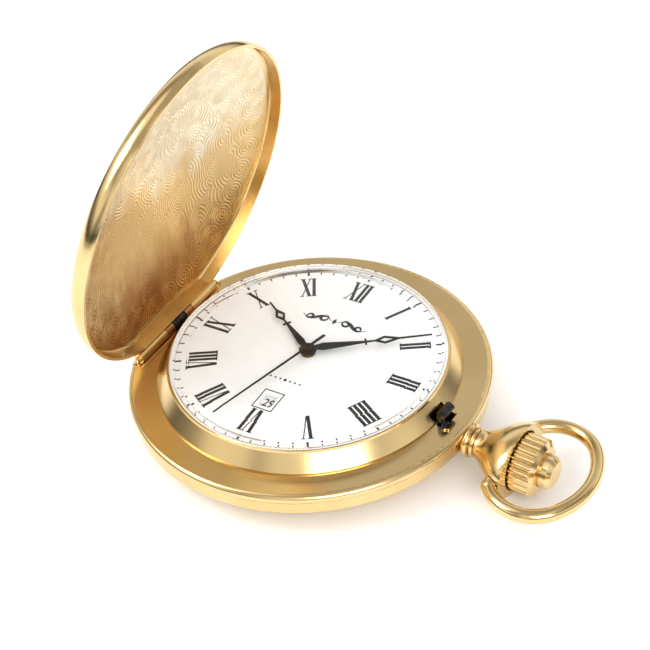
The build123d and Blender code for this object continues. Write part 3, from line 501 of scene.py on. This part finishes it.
i = np.arange(RINGS - 1)[:, None] * RAYS
j = np.arange(RAYS)[None, :]
k = (j + 1) % RAYS
quads = np.stack([i + j, i + k, i + RAYS + k, i + RAYS + j], -1).reshape(-1, 4)
tip = len(opened) - 1
engraved = from_points("lid_engraving", opened.tolist(), quads.tolist()
                       + [[a, tip, (a + 1) % RAYS] for a in range(RAYS)])
piece("lid_engraving", engraved, gold_engraved_painted_light, "lid", smooth=True)

# ---------------------------------------------------------------- floor, light and camera
def floor_plane():
    made, tree, shader = material("floor_pale")
    shader.inputs["Roughness"].default_value = 0.9
    tree.links.new(ramp(tree, noise(tree, 40), (0.90, 0.90, 0.90), (0.92, 0.92, 0.92)),
                   shader.inputs["Base Color"])
    mesh = bpy.data.meshes.new("floor")
    half = 3.0
    mesh.from_pydata([(-half, -half, -2e-5), (half, -half, -2e-5), (half, half, -2e-5), (-half, half, -2e-5)],
                     [], [(0, 1, 2, 3)])
    mesh.materials.append(made)
    made_floor = bpy.data.objects.new("floor", mesh)
    bpy.context.scene.collection.objects.link(made_floor)


def studio():
    """Even white light, and for metal to reflect a white room with darker bands and cards."""
    world = bpy.data.worlds.new("studio")
    bpy.context.scene.world = world
    world.use_nodes = True
    tree = world.node_tree
    room = tree.nodes["Background"]
    place = tree.nodes.new("ShaderNodeTexCoord")
    split = tree.nodes.new("ShaderNodeSeparateXYZ")
    tree.links.new(place.outputs["Generated"], split.inputs["Vector"])
    height = tree.nodes.new("ShaderNodeValToRGB")
    stops = [(0.0, 0.9), (0.5, 0.8), (0.515, 0.06), (0.555, 0.10), (0.60, 0.7), (0.68, 1.1), (0.76, 0.9),
             (0.82, 0.68), (0.88, 0.8), (0.94, 1.15), (1.0, 1.2)]
    bands = height.color_ramp.elements
    for _ in stops[2:]:
        bands.new(0.5)
    for element, (at, level) in zip(bands, stops):
        element.position = at
        element.color = (level, level * 0.985, level * 0.955, 1)
    lift = tree.nodes.new("ShaderNodeMapRange")
    lift.inputs["From Min"].default_value = -1.0
    lift.inputs["From Max"].default_value = 1.0
    tree.links.new(split.outputs["Z"], lift.inputs["Value"])
    tree.links.new(lift.outputs["Result"], height.inputs["Fac"])
    cards = tree.nodes.new("ShaderNodeTexNoise")
    cards.inputs["Scale"].default_value = 1.7
    cards.inputs["Detail"].default_value = 0.5
    tree.links.new(place.outputs["Generated"], cards.inputs["Vector"])
    shade = ramp(tree, cards.outputs["Fac"], (0.4, 0.39, 0.38), (1.0, 1.0, 1.0), (0.40, 0.50))
    both = tree.nodes.new("ShaderNodeMix")
    both.data_type = "RGBA"
    both.blend_type = "MULTIPLY"
    both.inputs["Factor"].default_value = 1.0
    tree.links.new(height.outputs["Color"], both.inputs["A"])
    tree.links.new(shade, both.inputs["B"])
    tree.links.new(both.outputs["Result"], room.inputs["Color"])
    even = tree.nodes.new("ShaderNodeBackground")
    even.inputs["Color"].default_value = (1, 1, 1, 1)
    even.inputs["Strength"].default_value = 1.2
    path = tree.nodes.new("ShaderNodeLightPath")
    mix = tree.nodes.new("ShaderNodeMixShader")
    tree.links.new(path.outputs["Is Glossy Ray"], mix.inputs["Fac"])
    tree.links.new(even.outputs["Background"], mix.inputs[1])
    tree.links.new(room.outputs["Background"], mix.inputs[2])
    tree.links.new(mix.outputs["Shader"], tree.nodes["World Output"].inputs["Surface"])


def lamp(name, at, size, power):
    """Soft box that points at the middle of the watch; places in metres, power in watts."""
    data = bpy.data.lights.new(name, "AREA")
    data.shape = "RECTANGLE"
    data.size, data.size_y = size
    data.energy = power
    made = bpy.data.objects.new(name, data)
    made.location = at
    made.rotation_mode = "QUATERNION"
    made.rotation_quaternion = (Vector(LAMP_AIM) - Vector(at)).to_track_quat("-Z", "Y")
    bpy.context.scene.collection.objects.link(made)


floor_plane()
studio()
lamp("key", (-0.36, -0.20, 0.46), (0.30, 0.30), 1.2)
lamp("fill", (0.36, -0.34, 0.36), (0.36, 0.3), 1.25)

CAMERA_AT = (0.07408, -0.10763, 0.11882)
LENS_MM = 72.56
scene = bpy.context.scene
scene.view_settings.view_transform = "Standard"
lens = bpy.data.cameras.new("camera")
lens.sensor_width = 36
lens.lens = LENS_MM
lens.clip_start = 0.005
lens.clip_end = 20
camera = bpy.data.objects.new("camera", lens)
scene.collection.objects.link(camera)
right = Vector((0.8659, 0.4939, -0.0797))
up = Vector((-0.2596, 0.5797, 0.7723))
forward = Vector((-0.4276, 0.6480, -0.6302))
turn = Matrix((right, up, -forward)).transposed().to_4x4()
camera.matrix_world = Matrix.Translation(CAMERA_AT) @ turn
scene.camera = camera
